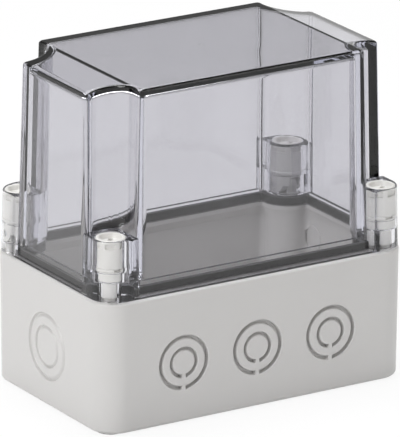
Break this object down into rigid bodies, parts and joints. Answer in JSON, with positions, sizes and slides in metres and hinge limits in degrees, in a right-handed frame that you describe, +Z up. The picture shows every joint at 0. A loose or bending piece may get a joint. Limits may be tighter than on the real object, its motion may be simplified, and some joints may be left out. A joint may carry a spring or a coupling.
{
  "type": "hinged enclosure",
  "caption": "Tall wall-mounting enclosure with a grey base, break-out cable entries and a clear hood that swings on hinge screws and is held by quarter-turn screws.",
  "frame": {"origin": "middle of the footprint, on the plane that the four foot rings stand on", "axes": "+Z up, +X along the long side, -Y towards the locking screws and +Y towards the hinge screws"},
  "size_m": [0.13, 0.08, 0.127],
  "materials": {
    "grey_polycarbonate": "fine satin moulding",
    "clear_polycarbonate": "clear, polished",
    "black_rubber": "matt",
    "white_polyamide": "satin",
    "steel": "ground"
  },
  "bodies": {
    "base": {"base": "grey_polycarbonate", "front_left_socket": "grey_polycarbonate", "front_right_socket": "grey_polycarbonate", "back_left_guide": "grey_polycarbonate", "back_right_guide": "grey_polycarbonate"},
    "hinge_links": {"back_left_link": "white_polyamide", "back_right_link": "white_polyamide"},
    "lid": {"cover": "clear_polycarbonate", "seal": "black_rubber", "front_left_ring": "white_polyamide", "front_right_ring": "white_polyamide", "back_left_ring": "white_polyamide", "back_right_ring": "white_polyamide", "back_left_hinge_screw": "white_polyamide", "back_right_hinge_screw": "white_polyamide", "back_left_pin": "steel", "back_right_pin": "steel"},
    "left_lock": {"front_left_screw": "white_polyamide"},
    "right_lock": {"front_right_screw": "white_polyamide"}
  },
  "joints": [
    {"name": "link_lift", "type": "slide", "parent": "base", "child": "hinge_links", "axis": [0, 0, 1], "range_m": [0, 0.0137]},
    {"name": "cover_swing", "type": "hinge", "parent": "hinge_links", "child": "lid", "pos_m": [0, 0.0318, 0.057], "axis": [-1, 0, 0], "range_deg": [0, 95]},
    {"name": "left_lock_turn", "type": "hinge", "parent": "lid", "child": "left_lock", "pos_m": [-0.0574, -0.0318, 0.06], "axis": [0, 0, -1], "range_deg": [0, 90]},
    {"name": "right_lock_turn", "type": "hinge", "parent": "lid", "child": "right_lock", "pos_m": [0.0574, -0.0318, 0.06], "axis": [0, 0, -1], "range_deg": [0, 90]}
  ],
  "couplings": [
    {"joint": "link_lift", "follows": "cover_swing", "m_per_rad": 0.0082}
  ]
}
